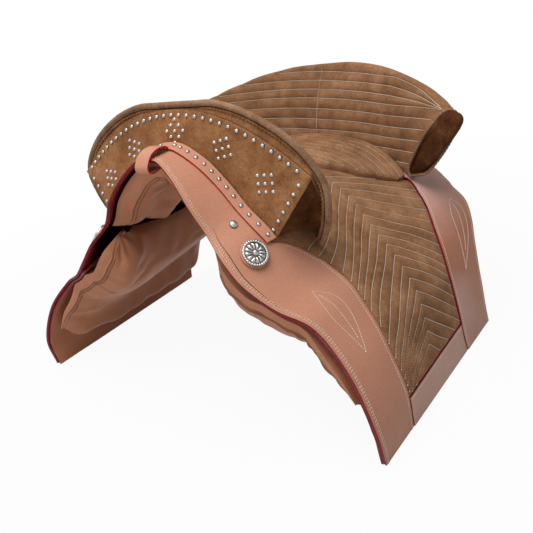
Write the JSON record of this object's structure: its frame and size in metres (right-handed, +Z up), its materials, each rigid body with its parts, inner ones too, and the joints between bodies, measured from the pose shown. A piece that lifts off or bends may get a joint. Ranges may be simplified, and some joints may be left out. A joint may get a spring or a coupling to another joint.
{
  "type": "pony saddle",
  "caption": "Pony saddle with a high studded pommel and a quilted cantle, lifting leather flaps over girth billets, stuffed panels and a wooden tree.",
  "frame": {"origin": "on the ground under the middle of the saddle, where the bottoms of its sweat flaps stand", "axes": "+X towards the saddle's left (near) side, +Y towards the cantle, +Z up; the front of the saddle faces -Y"},
  "size_m": [0.6476, 0.5181, 0.4247],
  "materials": {
    "flap_leather": "smooth pinkish tan bridle leather with burgundy edges",
    "lining_leather": "soft brown panel leather",
    "suede": "brown roughout suede",
    "dark_suede": "dark brown suede",
    "wood": "laminated beech, varnished",
    "steel": "satin steel",
    "nickel": "nickel plate",
    "webbing": "linen webbing"
  },
  "bodies": {
    "saddle": {"arch_facing_left": "flap_leather", "arch_facing_right": "flap_leather", "rear_skirt_left": "flap_leather", "rear_skirt_right": "flap_leather", "sweat_flap_left": "flap_leather", "sweat_flap_right": "flap_leather", "concho_washer_left": "flap_leather", "concho_washer_right": "flap_leather", "pommel_welt": "flap_leather", "pommel_loop": "flap_leather", "cantle_back": "flap_leather", "panel_left": "lining_leather", "panel_right": "lining_leather", "arch_lining": "lining_leather", "side_skirt_left": "suede", "side_skirt_right": "suede", "seat_cushion": "suede", "cantle_bolster": "suede", "pommel_face": "suede", "pommel_rim": "suede", "pommel_bolster": "dark_suede", "tree_bar_left": "wood", "tree_bar_right": "wood", "tree_pommel_arch": "wood", "tree_cantle_arch": "wood", "gullet_plate": "steel", "stirrup_bar_left": "steel", "stirrup_bar_right": "steel", "concho_left": "nickel", "concho_right": "nickel", "rivet_left": "nickel", "rivet_right": "nickel", "seat_webbing": "webbing"},
    "flap_left": {"front_strip_left": "flap_leather", "quilted_panel_left": "suede", "bottom_strip_left": "flap_leather", "rear_strip_left": "flap_leather"},
    "flap_right": {"front_strip_right": "flap_leather", "quilted_panel_right": "suede", "bottom_strip_right": "flap_leather", "rear_strip_right": "flap_leather"},
    "front_billet_left": {"billet_front_left": "flap_leather"},
    "rear_billet_left": {"billet_rear_left": "flap_leather"},
    "front_billet_right": {"billet_front_right": "flap_leather"},
    "rear_billet_right": {"billet_rear_right": "flap_leather"},
    "catch_left": {"bar_catch_left": "steel"},
    "catch_right": {"bar_catch_right": "steel"}
  },
  "joints": [
    {"name": "flap_left_lift", "type": "hinge", "parent": "saddle", "child": "flap_left", "pos_m": [0.17441, -0.2528, 0.20384], "axis": [-0.1547, -0.9879, 0.0077], "range_deg": [0, 50]},
    {"name": "flap_right_lift", "type": "hinge", "parent": "saddle", "child": "flap_right", "pos_m": [-0.17441, -0.2528, 0.20384], "axis": [-0.1547, 0.9879, -0.0077], "range_deg": [0, 50]},
    {"name": "front_billet_left_swing", "type": "hinge", "parent": "saddle", "child": "front_billet_left", "pos_m": [0.16934, -0.12825, 0.21723], "axis": [0.7808, -0.0689, 0.621], "range_deg": [-4, 4]},
    {"name": "front_billet_right_swing", "type": "hinge", "parent": "saddle", "child": "front_billet_right", "pos_m": [-0.16934, -0.12825, 0.21723], "axis": [-0.7808, -0.0689, 0.621], "range_deg": [-4, 4]},
    {"name": "rear_billet_left_swing", "type": "hinge", "parent": "saddle", "child": "rear_billet_left", "pos_m": [0.18975, 0.0197, 0.21116], "axis": [0.5832, -0.0629, 0.8099], "range_deg": [-4, 4]},
    {"name": "rear_billet_right_swing", "type": "hinge", "parent": "saddle", "child": "rear_billet_right", "pos_m": [-0.18975, 0.0197, 0.21116], "axis": [-0.5832, -0.0629, 0.8099], "range_deg": [-4, 4]},
    {"name": "catch_left_turn", "type": "hinge", "parent": "saddle", "child": "catch_left", "pos_m": [0.1892, -0.02604, 0.21716], "axis": [-0.6552, 0.0556, -0.7534], "range_deg": [0, 90]},
    {"name": "catch_right_turn", "type": "hinge", "parent": "saddle", "child": "catch_right", "pos_m": [-0.1892, -0.02604, 0.21716], "axis": [-0.6552, -0.0556, 0.7534], "range_deg": [0, 90]}
  ]
}
